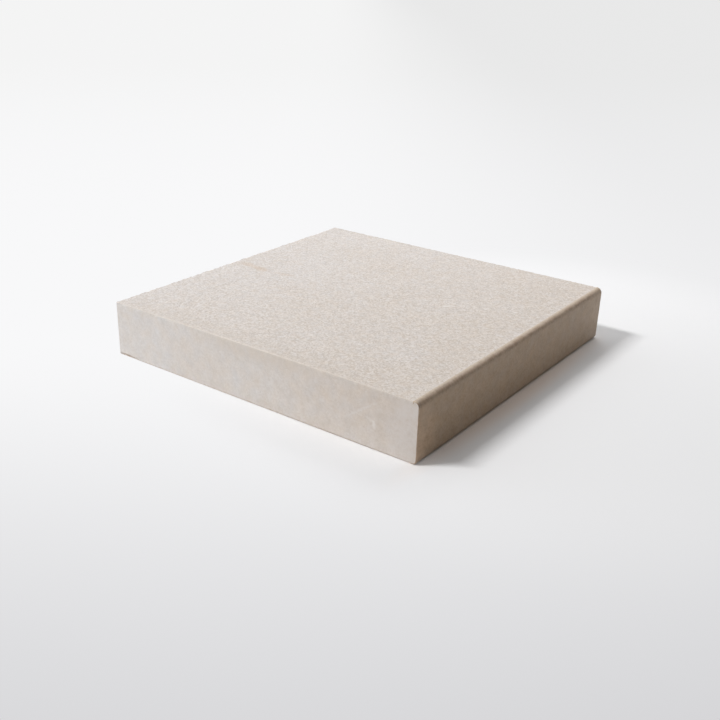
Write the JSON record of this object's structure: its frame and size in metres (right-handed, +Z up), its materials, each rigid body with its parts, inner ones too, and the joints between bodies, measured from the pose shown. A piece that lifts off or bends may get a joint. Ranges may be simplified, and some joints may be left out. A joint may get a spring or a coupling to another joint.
{
  "type": "pool coping stone",
  "caption": "Square marble coping block with a pencil-round nosing and a sandblasted non-slip top, bedded along the edge of a swimming pool.",
  "frame": {"origin": "middle of the underside, which beds in mortar on the pool wall", "axes": "+X along the pool edge, -Y towards the pool, out of the nosing face, +Z up out of the walking surface"},
  "size_m": [0.305, 0.305, 0.048],
  "materials": {
    "marble": "sandblasted top, honed nosing and sides, sawn underside"
  },
  "bodies": {
    "root": {"coping_stone": "marble"}
  },
  "joints": []
}
